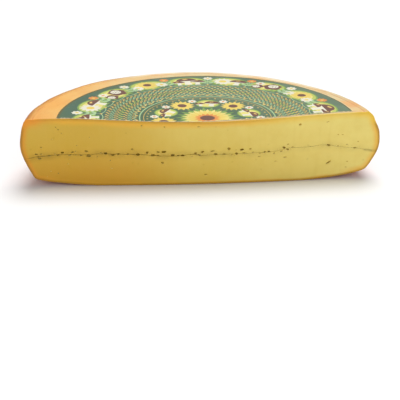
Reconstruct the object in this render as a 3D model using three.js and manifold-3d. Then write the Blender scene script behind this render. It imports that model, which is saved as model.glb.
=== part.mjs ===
// Half of a flat round cheese with a washed rind, cut upright through the middle of the wheel.
//
// Millimetres, +Z up. X runs along the cut, and the cut faces -Y. The shapes are drawn about the
// wheel's own axis, and the whole is then moved so that the origin is the middle of its footprint.
// The cheese is one solid. A thin dark layer runs through it at half its height and shows as a line
// on the cut. A round paper label, cut with the wheel, lies on the top.
import * as THREE from "three";
import { mergeVertices } from "three/addons/utils/BufferGeometryUtils.js";
import Module from "manifold-3d";

const wasm = await Module();
wasm.setup();

// The wheel
const wheelRadius = 180; // at the bulge of the side
const wheelHeight = 71; // at the ring round the label
const footRadius = 105; // the flat of the underside
const dishRadius = 150; // the top sinks inside this radius
const dishDepth = 4.7;
const roundSteps = 96;
const sideSteps = 26;
const dishSteps = 6;

// The side, from the foot to the top: radius less than the bulge's, and height
const sidePoints = [
  [wheelRadius - footRadius, 0],
  [44, 2.3],
  [22, 5.5],
  [11.5, 8.8],
  [7.7, 14.5],
  [3.5, 24.5],
  [0, 38],
  [0.4, 49],
  [3.5, 59.5],
  [7, 67.3],
  [11.5, 70.6],
  [20, wheelHeight],
  [wheelRadius - dishRadius, wheelHeight],
];

// The wheel is a little out of round: degrees round from X, then how far its side stands out near the
// base, at the bulge and at the shoulder
const outOfRound = [
  [-10, 2.6, 2.6, 0.2],
  [10, 2.6, 2.6, 0.2],
  [50, 0, 0, -3],
  [90, 0, 0, 2],
  [130, 0, 0, 4.5],
  [175, -1.2, 0, 2.4],
  [190, -1.2, 0, 2.4],
];
const baseHeights = [2, 12];
const bulgeHeights = [30, 40];
const shoulderHeights = [52, 68];
const topFade = [152, 166]; // on the top, the swell fades out between these radii

// The cut: a line turned a little from X, which bows forward in the middle
const cutAhead = 7.7; // where the straight line would cross the Y axis
const cutSlope = 0.101;
const cutBow = 6.5;
const bowMiddle = 12;
const bowHalfLength = 155;
const cutSteps = 32;

// The dark layer: at the cut it follows these points of X and height, and further back it has a rise on
// the right, drops near both ends, and waves
const layerThickness = 1.0;
const layerHeight = 33.6;
const layerInset = 5; // from the bulge of the side to the layer's edge
const layerAtCut = [
  [-176, 30.2],
  [-140, 33.6],
  [-80, 33.9],
  [-52, 32.2],
  [-28, 30.9],
  [-11, 32.6],
  [4, 31.2],
  [60, 32.6],
  [92, 36.5],
  [124, 37.8],
  [150, 34],
  [175, 29.4],
];
const layerFade = [2, 40]; // behind the cut, from the one form to the other
const layerHumps = [
  { height: 3.4, middle: 112, width: 30 },
  { height: -4.5, middle: 185, width: 28 },
  { height: -2.5, middle: -185, width: 34 },
];
const layerWaves = [
  { height: 0.7, along: 11, back: Infinity, start: 0 },
  { height: 0.5, along: 5.2, back: Infinity, start: 1 },
  { height: 1.2, along: 60, back: 26, start: 0 },
];
const layerStepsAlong = 60;
const layerStepsBack = 8;

// The label
const labelRadius = 147.8;
const labelMiddle = [4.3, 5.9];
const labelThickness = 0.4;

const gap = 0.3; // between pieces that lie on each other
const beyond = 20; // how far a cutting shape reaches past what it cuts

// Eyes that show on the cut: place along X, height, width, height of the eye, tilt in degrees
const eyes = [
  [-64.5, 33.2, 4, 2.6, 0],
  [-49.7, 32.3, 4.2, 2.6, 0],
  [-38.8, 35.8, 5, 2.4, 8],
  [-30, 32.2, 4, 2.4, 0],
  [-40.4, 24.2, 3.2, 2.6, 0],
  [-20, 31.7, 4, 2, 0],
  [-0.3, 35, 3.2, 2, 30],
  [13, 32.3, 4.4, 2.4, -12],
  [26.2, 37.5, 3.6, 3.2, 0],
  [33.9, 32.3, 3, 2.4, 0],
  [39.2, 36.3, 4.6, 2.4, 10],
  [64.5, 33.2, 6, 2, 5],
  [81.8, 37, 3.6, 2.8, -20],
  [85.8, 34.6, 3.6, 2, -20],
  [97.3, 60.6, 3.4, 2.2, 0],
  [127.6, 37.4, 5.4, 2.4, -15],
  [129, 18.8, 6.4, 2.2, 35],
  [155.6, 33.1, 4.4, 2, 0],
  [3.3, 10.6, 3.6, 2.2, 0],
];
const eyeDepth = 2.2;

// More eyes, drawn at random along the layer to the left of the ones above
const drawnEyes = 9;
const drawnEyesFrom = -158;
const drawnEyesTo = -76;
const drawnEyeWidth = [3, 5];
const drawnEyeTall = [2, 3];
const drawnEyeAbove = [-2, 3];
const drawnEyeTilt = [-20, 20];

// A repeatable run of random numbers, by Park and Miller's generator.
const drawFactor = 16807;
const drawModulus = 2147483647;
let drawn = 7;
function drawBetween([least, most]) {
  drawn = (drawn * drawFactor) % drawModulus;
  return least + ((most - least) * drawn) / drawModulus;
}

function solidOf(geometry) {
  const bare = geometry.clone();
  bare.deleteAttribute("normal");
  bare.deleteAttribute("uv");
  const merged = mergeVertices(bare, 1e-4);
  return new wasm.Manifold(
    new wasm.Mesh({
      numProp: 3,
      vertProperties: new Float32Array(merged.attributes.position.array),
      triVerts: new Uint32Array(merged.index.array),
    }),
  );
}

function geometryOf(solid) {
  const mesh = solid.getMesh();
  const geometry = new THREE.BufferGeometry();
  geometry.setAttribute("position", new THREE.BufferAttribute(mesh.vertProperties, 3));
  geometry.setIndex(new THREE.BufferAttribute(mesh.triVerts, 1));
  const flat = geometry.toNonIndexed();
  flat.computeVertexNormals();
  return flat;
}

// A form of revolution about Z from a profile of [radius, height], which goes up the outside.
function revolve(profile) {
  const points = profile.map(([radius, height]) => new THREE.Vector2(radius, height));
  return new THREE.LatheGeometry(points, roundSteps).rotateX(Math.PI / 2);
}

// An upright round bar about the point [x, y].
function upright([x, y], radius) {
  const height = wheelHeight + 2 * beyond;
  const bar = new THREE.CylinderGeometry(radius, radius, height, roundSteps);
  return solidOf(bar.rotateX(Math.PI / 2).translate(x, y, wheelHeight / 2));
}

function dishedHeight(radius) {
  const inside = Math.max(0, 1 - (radius / dishRadius) ** 2);
  return wheelHeight - dishDepth * inside ** 2;
}

// The top from the dish's edge to the axis, lifted by the given height.
function dishProfile(lift) {
  const profile = [];
  for (let step = dishSteps - 1; step >= 0; step -= 1) {
    const radius = (dishRadius * step) / dishSteps;
    profile.push([radius, dishedHeight(radius) + lift]);
  }
  return profile;
}

// A share from 0 to 1 that eases between two values.
function ease(value, [start, end]) {
  const share = Math.min(1, Math.max(0, (value - start) / (end - start)));
  return share * share * (3 - 2 * share);
}

// The column's value at a place, eased between the rows of a table that is sorted by its first column.
function easedAt(table, place, column) {
  let value = table[0][column];
  for (let row = 1; row < table.length; row += 1) {
    const share = ease(place, [table[row - 1][0], table[row][0]]);
    value += (table[row][column] - value) * share;
  }
  return value;
}

// How far the side stands out from the round wheel.
function swellAt(x, y, z) {
  const turn = (THREE.MathUtils.radToDeg(Math.atan2(y, x)) + 450) % 360 - 90;
  const [base, bulge, shoulder] = [1, 2, 3].map((column) => easedAt(outOfRound, turn, column));
  let out = base * ease(z, baseHeights);
  out += (bulge - out) * ease(z, bulgeHeights);
  out += (shoulder - out) * ease(z, shoulderHeights);
  return out * ease(Math.hypot(x, y), topFade);
}

function swell(geometry) {
  const place = geometry.attributes.position;
  for (let index = 0; index < place.count; index += 1) {
    const [x, y, z] = [place.getX(index), place.getY(index), place.getZ(index)];
    const radius = Math.hypot(x, y);
    const share = radius > topFade[0] ? 1 + swellAt(x, y, z) / radius : 1;
    place.setXYZ(index, x * share, y * share, z);
  }
  return geometry;
}

function wheelSolid() {
  const corners = sidePoints.map(
    ([inset, height]) => new THREE.Vector3(wheelRadius - inset, height, 0),
  );
  const side = new THREE.CatmullRomCurve3(corners, false, "centripetal");
  const sideProfile = side.getSpacedPoints(sideSteps).map((point) => [point.x, Math.max(0, point.y)]);
  return solidOf(swell(revolve([[0, 0], ...sideProfile, ...dishProfile(0)])));
}

function cutFrontAt(x) {
  const across = Math.min(1, Math.abs(x - bowMiddle) / bowHalfLength);
  return cutAhead + cutSlope * x - cutBow * Math.cos((across * Math.PI) / 2);
}

// Everything behind the cut.
function behindCut() {
  const reach = wheelRadius + beyond;
  const outline = new THREE.Shape();
  outline.moveTo(reach, reach);
  outline.lineTo(-reach, reach);
  for (let step = 0; step <= cutSteps; step += 1) {
    const x = -reach + (2 * reach * step) / cutSteps;
    outline.lineTo(x, cutFrontAt(x));
  }
  outline.closePath();
  const block = new THREE.ExtrudeGeometry(outline, {
    depth: wheelHeight + 2 * beyond,
    bevelEnabled: false,
  });
  return solidOf(block.translate(0, 0, -beyond));
}

// The height of the layer's middle.
function layerHeightAt(x, y) {
  let height = layerHeight;
  for (const hump of layerHumps) {
    height += hump.height * Math.exp(-(((x - hump.middle) / hump.width) ** 2));
  }
  for (const wave of layerWaves) {
    height += wave.height * Math.sin(x / wave.along + y / wave.back + wave.start);
  }
  const share = ease(y - cutFrontAt(x), layerFade);
  return easedAt(layerAtCut, x, 1) * (1 - share) + height * share;
}

// The layer as a waved slab, thicker all round by the given margin.
function layerSlab(margin) {
  const length = 2 * wheelRadius;
  const depth = wheelRadius + beyond;
  const thickness = layerThickness + 2 * margin;
  const slab = new THREE.BoxGeometry(length, depth, thickness, layerStepsAlong, layerStepsBack, 1);
  slab.translate(0, depth / 2 - beyond, 0);
  const place = slab.attributes.position;
  for (let index = 0; index < place.count; index += 1) {
    const [x, y, z] = [place.getX(index), place.getY(index), place.getZ(index)];
    place.setZ(index, z + layerHeightAt(x, y));
  }
  const outline = upright([0, 0], wheelRadius - layerInset + margin);
  return solidOf(slab).intersect(outline);
}

function eyeSolid([x, height, width, tall, tilt]) {
  const eye = new THREE.SphereGeometry(1, 9, 6);
  eye.scale(width / 2, eyeDepth, tall / 2);
  eye.rotateY(-THREE.MathUtils.degToRad(tilt));
  return solidOf(eye.translate(x, cutFrontAt(x), height));
}

function allEyes() {
  const more = [];
  const spacing = (drawnEyesTo - drawnEyesFrom) / drawnEyes;
  for (let count = 0; count < drawnEyes; count += 1) {
    const x = drawnEyesFrom + spacing * drawBetween([count, count + 0.8]);
    const height = layerHeightAt(x, 0) + drawBetween(drawnEyeAbove);
    const width = drawBetween(drawnEyeWidth);
    more.push([x, height, width, drawBetween(drawnEyeTall), drawBetween(drawnEyeTilt)]);
  }
  return [...eyes, ...more].map(eyeSolid).reduce((joined, eye) => joined.add(eye));
}

function labelSolid() {
  const underside = dishProfile(gap).reverse();
  const face = dishProfile(gap + labelThickness);
  const edge = [
    [dishRadius + beyond, wheelHeight + gap],
    [dishRadius + beyond, wheelHeight + gap + labelThickness],
  ];
  const sheet = solidOf(revolve([...underside, ...edge, ...face]));
  return sheet.intersect(upright(labelMiddle, labelRadius));
}

const half = behindCut();
const pieces = {
  cheese: {
    solid: wheelSolid().intersect(half).subtract(layerSlab(gap)).subtract(allEyes()),
    look: { color: 0xe6a94e, roughness: 0.55, metalness: 0 },
  },
  dark_layer: {
    solid: layerSlab(0).intersect(half),
    look: { color: 0x6b5d3e, roughness: 0.8, metalness: 0 },
  },
  paper_label: {
    solid: labelSolid().intersect(half),
    look: { color: 0x2f6256, roughness: 0.5, metalness: 0 },
  },
};

const halfWheel = new THREE.Group();
for (const [name, { solid, look }] of Object.entries(pieces)) {
  const mesh = new THREE.Mesh(geometryOf(solid), new THREE.MeshStandardMaterial(look));
  mesh.name = name;
  halfWheel.add(mesh);
}

// The origin is the middle of the footprint, on the base.
const footprint = new THREE.Box3().setFromObject(halfWheel);
const middle = footprint.getCenter(new THREE.Vector3());
for (const mesh of halfWheel.children) mesh.geometry.translate(-middle.x, -middle.y, 0);

export default halfWheel;
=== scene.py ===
# Half of a flat round cheese: an orange washed rind, a pale cut with eyes and a thin dark line, and a
# printed paper label on the top.
#
# Lengths are in metres, in the row's frame. The shapes are worked out about the wheel's own axis, which
# stands a wheel's radius in from the left and the back of the CAD model's box.
import math
import random

import bmesh
import bpy
import numpy as np
from bpy.props import FloatProperty, FloatVectorProperty, IntProperty, PointerProperty
from mathutils import Matrix, Vector, noise
from mathutils.geometry import delaunay_2d_cdt


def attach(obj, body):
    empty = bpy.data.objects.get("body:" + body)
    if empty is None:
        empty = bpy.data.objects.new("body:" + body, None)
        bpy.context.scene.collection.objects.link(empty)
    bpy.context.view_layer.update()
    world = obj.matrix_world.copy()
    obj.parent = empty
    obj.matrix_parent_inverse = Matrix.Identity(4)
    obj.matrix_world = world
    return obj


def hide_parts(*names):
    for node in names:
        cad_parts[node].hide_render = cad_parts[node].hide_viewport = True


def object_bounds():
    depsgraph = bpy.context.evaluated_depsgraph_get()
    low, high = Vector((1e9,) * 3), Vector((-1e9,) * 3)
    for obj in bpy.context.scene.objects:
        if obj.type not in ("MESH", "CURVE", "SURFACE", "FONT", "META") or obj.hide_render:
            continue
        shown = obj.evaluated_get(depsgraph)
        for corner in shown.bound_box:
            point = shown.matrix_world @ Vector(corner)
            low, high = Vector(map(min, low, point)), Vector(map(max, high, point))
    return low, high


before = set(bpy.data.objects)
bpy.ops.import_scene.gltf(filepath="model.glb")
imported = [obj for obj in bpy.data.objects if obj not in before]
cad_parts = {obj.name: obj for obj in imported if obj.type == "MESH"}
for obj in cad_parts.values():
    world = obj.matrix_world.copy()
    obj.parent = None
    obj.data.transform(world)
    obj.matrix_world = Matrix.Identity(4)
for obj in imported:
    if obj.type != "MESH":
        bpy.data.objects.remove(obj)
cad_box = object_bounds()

bl_info = {
    "name": "Half cheese wheel",
    "version": (1, 0, 0),
    "blender": (4, 5, 0),
    "location": "3D View > Sidebar > Cheese",
    "description": "Makes half of a washed-rind cheese wheel with a dark layer and a printed label",
    "category": "Object",
}

BODY = "root"
MM = 0.001


def linear_colour(red, green, blue):
    """A colour as it looks, in parts of 0 to 255, in Blender's linear values."""
    values = []
    for value in (red, green, blue):
        share = value / 255
        values.append(share / 12.92 if share <= 0.04045 else ((share + 0.055) / 1.055) ** 2.4)
    return tuple(values)


def length(name, description, millimetres, **limits):
    return FloatProperty(name=name, description=description, default=millimetres * MM, unit="LENGTH",
                         subtype="DISTANCE", precision=4, **limits)


def colour(name, description, red, green, blue):
    return FloatVectorProperty(name=name, description=description, subtype="COLOR", size=3, min=0, max=1,
                               default=linear_colour(red, green, blue))


class WheelSizes(bpy.types.PropertyGroup):
    radius: length("Radius", "Of the wheel, at the bulge of its side", 180)
    height: length("Height", "Of the ring round the label", 71)
    foot: length("Foot radius", "Of the flat of the underside", 105)
    dish: length("Dish radius", "The top sinks inside this radius", 150)
    dish_depth: length("Dish depth", "How far the middle of the top sinks", 4.7)
    cut_ahead: length("Cut ahead", "Where the straight cut would cross the Y axis", 7.7)
    cut_slope: FloatProperty(name="Cut slope", description="How much the cut turns from X", default=0.101)
    cut_bow: length("Cut bow", "How far the middle of the cut bows forward", 6.5)
    bow_middle: length("Bow middle", "Where along X the bow is deepest", 12)
    bow_half: length("Bow half length", "From the bow's middle to its ends", 155)
    cut_corner: length("Cut corner", "Width of the soft corner between cut and rind", 0.7)
    unevenness: length("Unevenness", "Height of the rind's dents and bumps", 0.7)
    ridge: length("Ridge", "From the bulge of the side in to the ridge where the top ends", 12)


class EyeSizes(bpy.types.PropertyGroup):
    depth: length("Depth", "Of the deepest eye", 2.0)
    mouth: length("Mouth", "How much wider an eye is where it opens", 0.3)
    along_line: IntProperty(name="Eyes along the line", description="Placed at random", default=17, min=0)
    scattered: IntProperty(name="Scattered eyes", description="Small ones over the cut", default=18, min=0)


class LayerSizes(bpy.types.PropertyGroup):
    height: length("Height", "Of the layer's middle above the base", 33.6)
    thickness: length("Thickness", "Of the layer where it is whole", 1.0)
    inset: length("Inset", "From the bulge of the side to the layer's edge", 5)
    proud: length("Proud", "How far the line stands out of the cut", 0.1)


class LabelSizes(bpy.types.PropertyGroup):
    radius: length("Radius", "Of the whole label", 147.8)
    middle_x: length("Middle X", "Of the label, from the wheel's axis", 4.3)
    middle_y: length("Middle Y", "Of the label, from the wheel's axis", 5.9)
    paper: length("Paper", "Thickness of the paper", 0.18)
    lift: length("Lift", "From the cheese to the underside of the paper", 0.12)
    wrinkle: length("Wrinkle", "Height of the paper's waves", 0.35)
    bare: length("Bare", "Width of the bare rind between the label and the cut, on the right", 2.4)
    cells: IntProperty(name="Cells", description="Motifs round the outer ring", default=16, min=6)
    print_back: length("Print back", "How far behind the label's middle the print's middle lies", 7)


class CheeseColours(bpy.types.PropertyGroup):
    paste: colour("Paste", "The pale middle of the cut", 242, 224, 132)
    # Also laid as painted shade towards the left and the base
    paste_deep: colour("Deep paste", "Where the cut is more golden", 203, 165, 34)
    # Painted shade and warm bounce light, low down on the left of the cut
    paste_warm_shade: colour("Warm paste", "Low down on the left of the cut", 206, 144, 40)
    under_rind: colour("Under the rind", "The golden band inside the rind", 238, 178, 54)
    band_right: colour("Right band", "The band at the top of the cut on the right", 240, 194, 48)
    band_left: colour("Left band", "The band at the left end of the cut", 218, 126, 0)
    rind: colour("Rind", "The washed side", 208, 106, 16)
    rind_deep: colour("Deep rind", "The darker patches of the side", 186, 80, 8)
    rind_weave: colour("Woven rind", "The print that the pressing cloth left on the side", 238, 150, 44)
    # Paler than the side, partly in its own colour and partly as painted light on the top
    rind_pale: colour("Pale rind", "The ring round the label", 240, 187, 102)
    # Painted sheen of the ring at the back and on the right
    rind_cream_sheen: colour("Cream rind", "The ring at the back and on the right", 225, 209, 158)
    rind_flush: colour("Warm rind", "Flushed patches of the ring", 240, 168, 92)
    # Painted highlight on the rind's lip at the back
    rind_lip_highlight: colour("Rind's lip", "The pale strip outside the ring", 250, 238, 204)
    # Also laid as painted shade on the shoulder
    rind_edge_and_shade: colour("Rind's cut edge", "The skin of the rind at the cut", 158, 118, 40)
    powder: colour("Dark powder", "The layer", 112, 86, 12)
    powder_grain: colour("Powder's grains", "The darkest grains of the layer", 70, 52, 6)
    # Painted highlight where an eye's lower edge faces up
    lip_highlight: colour("Eye's lip", "The lower edge of an eye", 255, 244, 170)
    # Painted shade: the insides of the eyes and the small holes darken towards this colour
    eye: colour("Eye", "The inside of an eye", 150, 121, 2)


class LabelInks(bpy.types.PropertyGroup):
    ground: colour("Ground", "The dark green of the label", 78, 104, 74)
    # Painted sheen of the paper at the back and on the right
    ground_sheen: colour("Faded ground", "The ground at the back and on the right", 104, 126, 99)
    # Painted shadow along the label's edge, partly a printed rim
    rim: colour("Rim", "The dull line round the label's edge", 98, 92, 46)
    line: colour("Pale line", "Thin lines and scallops", 168, 200, 146)
    leaf: colour("Leaf", "Light green leaves", 128, 162, 78)
    yellow: colour("Yellow", "Petals", 232, 204, 98)
    gold: colour("Gold", "Grains and beads", 222, 186, 100)
    orange: colour("Orange", "Marigolds", 226, 142, 66)
    meadow: colour("Meadow", "Behind the motifs", 186, 196, 92)
    glow: colour("Glow", "The sunny middle of a meadow", 232, 218, 126)
    white: colour("White", "Petals and stems", 230, 226, 204)
    brown: colour("Brown", "Caps and truffles", 112, 74, 58)
    paper: colour("Bare paper", "Where the paper is torn", 228, 208, 164)
    teal: colour("Teal", "Bluer patches of the ground", 62, 103, 98)


class StageSettings(bpy.types.PropertyGroup):
    camera_x: length("Camera X", "From the wheel's axis", 3)
    camera_y: length("Camera Y", "From the wheel's axis", -748.7)
    camera_z: length("Camera Z", "Above the floor", 316.6)
    pan: FloatProperty(name="Pan", description="To the left", default=math.radians(0.42), subtype="ANGLE")
    tilt: FloatProperty(name="Tilt", description="Downwards", default=math.radians(24.02), subtype="ANGLE")
    roll: FloatProperty(name="Roll", description="Clockwise", default=math.radians(0.41), subtype="ANGLE")
    lens: FloatProperty(name="Lens", description="In millimetres, on a 36 mm sensor", default=72.0)
    sky: FloatProperty(name="Sky", description="Strength of the even light", default=0.34)
    overhead: FloatProperty(name="Overhead light", description="Strength of the light above", default=2.6)
    front: FloatProperty(name="Front light", description="Strength of the light on the cut", default=0.9)


# Eyes, listed one by one: along X, height, width, height of the eye, tilt in degrees, and how deep it is,
# from
# 0 to 1. Millimetres.
EYES = (
    (-64.5, 33.2, 4, 2.4, 0, 0.9),
    (-49.7, 32.3, 4.2, 2.4, 0, 0.8),
    (-38.8, 35.8, 5, 2.2, 8, 1.0),
    (-30, 32.2, 4, 2.2, 0, 0.9),
    (-40.4, 24.2, 2.9, 2.3, 0, 0.48),
    (13, 32.3, 3.8, 1.8, -12, 0.8),
    (26.2, 37.5, 3.4, 2.9, 0, 0.5),
    (39.2, 36.3, 3.8, 1.8, 10, 1.0),
    (81.8, 37, 3.1, 2.3, -20, 0.66),
    (97.3, 60.6, 3.2, 2, 0, 0.32),
    (127.6, 37.4, 4.2, 1.8, -20, 0.58),
    (129, 18.8, 6.2, 1.9, 35, 0.48),
    (3.3, 10.4, 3.6, 2, 0, 0.33),
    (-70, 39, 2.5, 1.8, 0, 0.5),
    (-55.5, 35.2, 2.6, 2.4, 20, 0.7),
    (-44.4, 35.6, 3.2, 1.6, -10, 0.65),
    (-44.8, 31.9, 3, 1.3, 0, 0.5),
    (-24.6, 31.5, 2.4, 1.4, 0, 0.6),
    (-20, 31.7, 4, 1.8, 0, 0.85),
    (-10.8, 30.3, 2, 1, 0, 0.2),
    (-7.2, 33.8, 3, 1.8, 10, 0.55),
    (-3.2, 31.8, 3.4, 1.2, -20, 0.5),
    (-0.3, 35, 3.2, 2, 30, 0.6),
    (10, 35.6, 5, 1.2, 5, 0.45),
    (4.5, 31.2, 2.2, 1, 0, 0.2),
    (21.8, 32, 4.6, 1.5, -5, 0.36),
    (29.6, 31, 2.6, 1.2, 0, 0.25),
    (33.9, 32.3, 2.8, 2.3, 0, 0.72),
    (33.6, 36, 2, 1, 0, 0.2),
    (41.6, 32.7, 4, 1.4, 0, 0.3),
    (47.8, 36.7, 2.8, 1.7, 0, 0.36),
    (50.6, 33.1, 3, 1.2, 0, 0.25),
    (57.2, 28.3, 3.2, 1, 0, 0.25),
    (57.6, 31.7, 2, 1, 0, 0.25),
    (62.2, 33, 2.4, 1.3, 10, 0.5),
    (66.4, 33.4, 2.4, 1.4, 10, 0.5),
    (72, 31.3, 2.2, 1.2, 0, 0.25),
    (74.2, 22.4, 3.4, 1.1, 0, 0.16),
    (79.4, 33.1, 3, 1.2, 20, 0.3),
    (83.4, 26.4, 3.8, 1.5, 0, 0.24),
    (85.6, 34.7, 3.2, 1.5, -20, 0.5),
    (85.9, 40.2, 2.2, 1, 30, 0.3),
    (90.5, 37, 2.6, 1.2, 0, 0.22),
    (109, 36.8, 2, 0.9, 0, 0.2),
    (137.6, 36, 2.2, 1.3, 0, 0.2),
    (146.9, 37.1, 2.4, 1.1, 0, 0.17),
    (155.6, 33.1, 3.8, 1.4, 0, 0.4),
    (137, 48.2, 2, 1.2, 0, 0.12),
    (141.5, 48, 2.2, 1.2, 0, 0.12),
    (158.5, 39.8, 2, 1.3, 0, 0.14),
    (148.8, 18.4, 2.6, 1.2, 0, 0.13),
    (147.5, 12.4, 2.6, 1, 0, 0.12),
    (125.5, 62.5, 4, 1, 20, 0.15),
    (-60.2, 63.4, 2, 1.6, 0, 0.3),
    (-38, 61.7, 1.6, 1.8, 0, 0.35),
    (-4.2, 61.5, 2.8, 1.3, 0, 0.25),
)
# The line that the layer draws on the cut: along X, height, and its strength. Millimetres.
LINE = (
    (-176, 30.2, 0.25), (-160, 32.4, 0.5), (-140, 33.6, 0.28), (-120, 33.2, 0.45), (-100, 34.4, 0.28),
    (-80, 33.9, 0.5), (-64, 33.4, 0.6), (-52, 32.2, 0.5), (-40, 31.3, 0.42), (-28, 30.9, 0.4),
    (-20, 31.7, 0.5), (-14, 32.6, 0.5), (-8, 32.5, 0.5), (-3, 31.6, 0.4), (4, 31.1, 0.1),
    (16, 31.8, 0.11), (24, 31.9, 0.15), (34, 32, 0.09), (44, 32, 0.06), (52, 32.6, 0.05), (64, 32.8, 0.2),
    (74, 33.5, 0.06), (82, 35.2, 0.07), (90, 36.6, 0.05), (101, 36.3, 0.05), (110, 36.9, 0.06),
    (120, 37.9, 0.07), (128, 37.5, 0.18), (138, 35.8, 0.06), (150, 34, 0.05), (160, 32.4, 0.05),
    (168, 30.4, 0.08), (172, 29.7, 0.25), (177, 29.3, 0.15),
)
# The side from the foot up: how far it lies in from the bulge, and height. Then how far in the top is full
# height. Millimetres.
SIDE = ((44, 2.3), (22, 5.5), (11.5, 8.8), (7.7, 14.5), (3.5, 24.5), (0, 38), (0.4, 49), (3.5, 59.5),
        (7, 67.3), (11.5, 70.6))
TOP_EDGE = 20
# How far the wheel is out of round: degrees round from X, then how far the side stands out at each of the
# heights but the lowest, where it is round. Millimetres.
OUT_OF_ROUND = ((-10, 2.2, 3.5, 2.1, 0.3, 0.2), (10, 2.2, 3.5, 2.1, 0.3, 0.2), (50, 0, 0, 0, -3, -3),
                (90, 0, 0, 0, 2, 2), (130, 0, 0, 0, 4.5, 4.5), (175, -1.2, -0.6, 0, 1.6, 2.9),
                (190, -1.2, -0.6, 0, 1.6, 2.9))
SIDE_HEIGHTS = (2, 17, 30, 49, 64, 71)
# Warm patches of the ring: X, Y, how wide, how strong, and their colour. Millimetres.
FLUSHES = ((152, 50, 20, 0.6, "rind_flush"), (60, 150, 18, 0.2, "rind_flush"),
           (-52, 158, 16, 0.3, "rind_flush"), (-160, 42, 34, 0.25, "rind_weave"),
           (-170, -8, 30, 0.3, "rind_weave"), (168, 22, 24, 0.6, "rind_pale"))
# The dark layer's humps, as height, middle and width, and its waves, as height, length along X, length
# back and start. Millimetres.
LAYER_HUMPS = ((3.4, 112, 30), (-4.5, 185, 28), (-2.5, -185, 34))
LAYER_WAVES = ((0.7, 11, math.inf, 0), (0.5, 5.2, math.inf, 1), (1.2, 60, 26, 0))

# How finely the meshes are made
HUB = 6 * MM  # radius of the last ring at the middle of the underside and of the top
UNDERSIDE_RINGS = 18
TOP_RINGS = 33
RING_POINTS = 200  # on each ring, from the cut's right end to its left
RIND_SPACING = 1.6 * MM
CUT_SPACING = 2.6 * MM
LINE_POINTS = 620  # along the dark layer's front edge
LAYER_ROWS = (0, 0.004, 0.012, 0.04, 0.12, 0.25, 0.45, 0.65, 0.82, 0.94, 1.0)  # from its front to its back
LABEL_CUT_POINTS, LABEL_BACK_POINTS = 190, 230  # along the label's cut edge and round its back
PAPER_SPACING = 3.0 * MM


def settings():
    return bpy.context.scene.half_cheese


def axis_place():
    """Where the wheel's axis stands in the row's frame."""
    low, high = cad_box
    radius = settings().wheel.radius
    return Vector((low.x + radius, high.y - radius, 0))


def smooth_step(values, start, end):
    share = np.clip((np.asarray(values, float) - start) / (end - start), 0, 1)
    return share * share * (3 - 2 * share)


def eased_between(value, places, heights):
    """A smooth curve through heights at the places, level at each of them."""
    position = np.interp(value, places, np.arange(len(places)))
    whole = np.floor(position)
    return np.interp(whole + smooth_step(position - whole, 0, 1), np.arange(len(places)), heights)


def noise_at(points, size, octaves=3, shift=0.0):
    """Fractal noise of about -1 to 1 with features of the given size, one value for each point."""
    move = Vector((shift, shift * 1.7, shift * 0.6))
    return np.array([noise.fractal(Vector(p) / size + move, 1.0, 2.0, octaves) for p in points])


# The wheel's form


def smooth_curve(points, steps=24):
    """A centripetal Catmull-Rom curve through the points."""
    points = np.array(points, float)
    ends = [2 * points[0] - points[1], *points, 2 * points[-1] - points[-2]]
    made = []
    for before, start, end, after in zip(ends, ends[1:], ends[2:], ends[3:]):
        gaps = [math.sqrt(np.linalg.norm(b - a)) for a, b in ((before, start), (start, end), (end, after))]
        leave = (start - before) / gaps[0] - (end - before) / (gaps[0] + gaps[1]) + (end - start) / gaps[1]
        reach = (end - start) / gaps[1] - (after - start) / (gaps[1] + gaps[2]) + (after - end) / gaps[2]
        t = np.linspace(0, 1, steps, endpoint=False)[:, None]
        made.append((2 * t**3 - 3 * t**2 + 1) * start + (t**3 - 2 * t**2 + t) * leave * gaps[1]
                    + (3 * t**2 - 2 * t**3) * end + (t**3 - t**2) * reach * gaps[1])
    return np.vstack([*made, points[-1:]])


def evenly(points, spacing):
    """The same line with points at an even spacing."""
    along = np.concatenate([[0], np.cumsum(np.linalg.norm(np.diff(points, axis=0), axis=1))])
    places = np.linspace(0, along[-1], max(2, round(along[-1] / spacing)) + 1)
    return np.column_stack([np.interp(places, along, points[:, axis]) for axis in (0, 1)])


def side_curve():
    """Radius and height of the side, from the foot up to the dish."""
    wheel = settings().wheel
    side = [(wheel.radius - inset * MM, height * MM) for inset, height in SIDE]
    top = [(wheel.radius - TOP_EDGE * MM, wheel.height), (wheel.dish, wheel.height)]
    curve = smooth_curve([(wheel.foot, 0), *side, *top])
    curve[:, 1] = np.maximum(0, curve[:, 1])
    return curve


def side_line():
    """The side's curve with a point at about each millimetre, and how far along it each of them lies."""
    curve = evenly(side_curve(), 1 * MM)
    step = np.linalg.norm(np.diff(curve, axis=0), axis=1).mean()
    return curve, np.arange(len(curve)) * step


def dished_height(radius):
    wheel = settings().wheel
    inside = np.maximum(0, 1 - (np.asarray(radius) / wheel.dish) ** 2)
    return wheel.height - wheel.dish_depth * inside**2


def wheel_profile(spacing):
    """Radius and height of the wheel's outline, from the underside's hub round to the top's hub."""
    wheel = settings().wheel
    under = [(radius, 0) for radius in np.linspace(HUB, wheel.foot, UNDERSIDE_RINGS, endpoint=False)]
    top_radii = np.linspace(wheel.dish, HUB, TOP_RINGS + 1)[1:]
    top = np.column_stack([top_radii, dished_height(top_radii)])
    return np.vstack([under, evenly(side_curve(), spacing), top])


def cut_front(x):
    """Y of the cut at x, from the wheel's axis."""
    wheel = settings().wheel
    across = np.minimum(1, np.abs(np.asarray(x) - wheel.bow_middle) / wheel.bow_half)
    return wheel.cut_ahead + wheel.cut_slope * x - wheel.cut_bow * np.cos(across * math.pi / 2)


def cut_ends(radii, samples=6001):
    """X of the cut at each radius, on the right and on the left."""
    reach = settings().wheel.radius * 1.05
    x = np.linspace(-reach, reach, samples)
    away = np.hypot(x, cut_front(x))
    nearest = int(np.argmin(away))
    right = np.interp(radii, away[nearest:], x[nearest:])
    left = np.interp(radii, away[nearest::-1], x[nearest::-1])
    return right, left


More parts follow.
